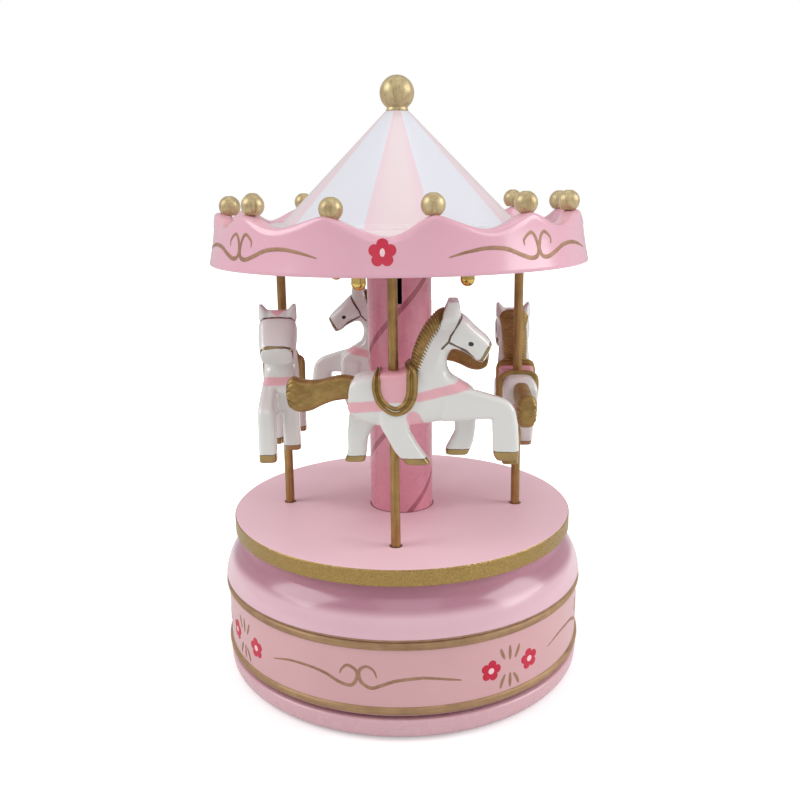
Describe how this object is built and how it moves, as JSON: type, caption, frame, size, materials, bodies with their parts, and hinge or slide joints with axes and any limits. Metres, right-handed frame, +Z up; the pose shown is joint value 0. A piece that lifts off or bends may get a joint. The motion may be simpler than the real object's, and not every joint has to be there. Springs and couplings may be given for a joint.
{
  "type": "wind-up music box",
  "caption": "Carousel music box: horses on poles ride up and down between a round base and a wavy roof; turning the bottom cover winds it.",
  "frame": {"origin": "on the turning axis, at the surface that the felt ring rests on", "axes": "+Z up along the turning axis; -Y towards the front, where the front horse faces +X"},
  "size_m": [0.1068, 0.1068, 0.1705],
  "materials": {
    "shell_paint": "gloss pink lacquer with painted bands",
    "gloss_pink": "gloss pink and white lacquer",
    "matt_pink": "matt pink lacquer",
    "column_pink": "satin deep pink lacquer",
    "horse_paint": "gloss white paint",
    "antique_gold": "brushed antique gold paint",
    "mirror_gold": "bright gold plate",
    "felt": "felt",
    "nylon": "moulded",
    "plywood": "sanded",
    "brass": "turned",
    "steel": "brushed",
    "blued_steel": "blued"
  },
  "bodies": {
    "base": {"base_shell": "shell_paint", "bottom_plate": "plywood", "bottom_screws": "steel", "deck": "plywood", "deck_screws": "steel", "centre_post": "steel", "post_screws": "steel", "lifting_cam": "nylon", "bedplate": "steel", "movement_screws": "steel", "cylinder_bearings": "steel", "comb_block": "steel", "comb": "steel", "comb_screws": "steel", "governor_frame": "brass", "click_pivot": "steel"},
    "winder": {"winding_base": "shell_paint", "felt_ring": "felt", "slip_ring": "nylon", "winding_arbor": "steel", "arbor_screw": "steel", "ratchet_wheel": "steel"},
    "click": {"click": "steel"},
    "barrel": {"spring_barrel": "brass", "barrel_cover": "brass", "mainspring": "blued_steel"},
    "transfer": {"transfer_shaft": "steel", "drive_pinion": "brass", "transfer_gear": "nylon"},
    "cylinder": {"music_cylinder": "brass", "cylinder_shaft": "steel", "cylinder_pinion": "brass", "cylinder_gear": "brass"},
    "governor": {"worm_spindle": "steel", "air_brake": "nylon"},
    "carousel": {"turntable": "matt_pink", "turntable_bush": "brass", "hub_gear": "nylon", "column": "column_pink", "column_cap": "nylon", "ceiling_plate": "matt_pink", "ceiling_screws": "steel", "canopy": "gloss_pink", "rim_balls": "antique_gold", "finial": "antique_gold", "lamp_drops": "mirror_gold"},
    "rider_front": {"horse_front": "horse_paint", "pole_front": "antique_gold", "lift_arm_front": "steel"},
    "rider_right": {"horse_right": "horse_paint", "pole_right": "antique_gold", "lift_arm_right": "steel"},
    "rider_back": {"horse_back": "horse_paint", "pole_back": "antique_gold", "lift_arm_back": "steel"},
    "rider_left": {"horse_left": "horse_paint", "pole_left": "antique_gold", "lift_arm_left": "steel"}
  },
  "joints": [
    {"name": "winding_turn", "type": "hinge", "parent": "base", "child": "winder", "pos_m": [0, 0, 0], "axis": [0, 0, 1], "continuous": true},
    {"name": "carousel_turn", "type": "hinge", "parent": "base", "child": "carousel", "pos_m": [0, 0, 0.0423], "axis": [0, 0, 1], "continuous": true},
    {"name": "transfer_turn", "type": "hinge", "parent": "base", "child": "transfer", "pos_m": [-0.018, 0, 0.02], "axis": [0, 0, 1], "continuous": true},
    {"name": "barrel_turn", "type": "hinge", "parent": "base", "child": "barrel", "pos_m": [0, 0, 0.02], "axis": [0, 0, 1], "continuous": true},
    {"name": "cylinder_turn", "type": "hinge", "parent": "base", "child": "cylinder", "pos_m": [0.025, 0, 0.01923], "axis": [1, 0, 0], "continuous": true},
    {"name": "governor_turn", "type": "hinge", "parent": "base", "child": "governor", "pos_m": [0.0389, 0.0082, 0.02], "axis": [0, 0, 1], "continuous": true},
    {"name": "click_lift", "type": "hinge", "parent": "base", "child": "click", "pos_m": [0, -0.0126, 0.013], "axis": [0, 0, 1], "range_deg": [0, 14]},
    {"name": "front_horse_lift", "type": "slide", "parent": "carousel", "child": "rider_front", "axis": [0, 0, 1], "range_m": [-0.007, 0]},
    {"name": "right_horse_lift", "type": "slide", "parent": "carousel", "child": "rider_right", "axis": [0, 0, 1], "range_m": [0, 0.007]},
    {"name": "back_horse_lift", "type": "slide", "parent": "carousel", "child": "rider_back", "axis": [0, 0, 1], "range_m": [-0.00399, 0.00301]},
    {"name": "left_horse_lift", "type": "slide", "parent": "carousel", "child": "rider_left", "axis": [0, 0, 1], "range_m": [-0.00371, 0.00329]}
  ],
  "couplings": [
    {"joint": "transfer_turn", "follows": "carousel_turn", "ratio": -1.5},
    {"joint": "barrel_turn", "follows": "carousel_turn", "ratio": 0.375},
    {"joint": "cylinder_turn", "follows": "carousel_turn", "ratio": -1.125},
    {"joint": "governor_turn", "follows": "carousel_turn", "ratio": 22.5}
  ]
}
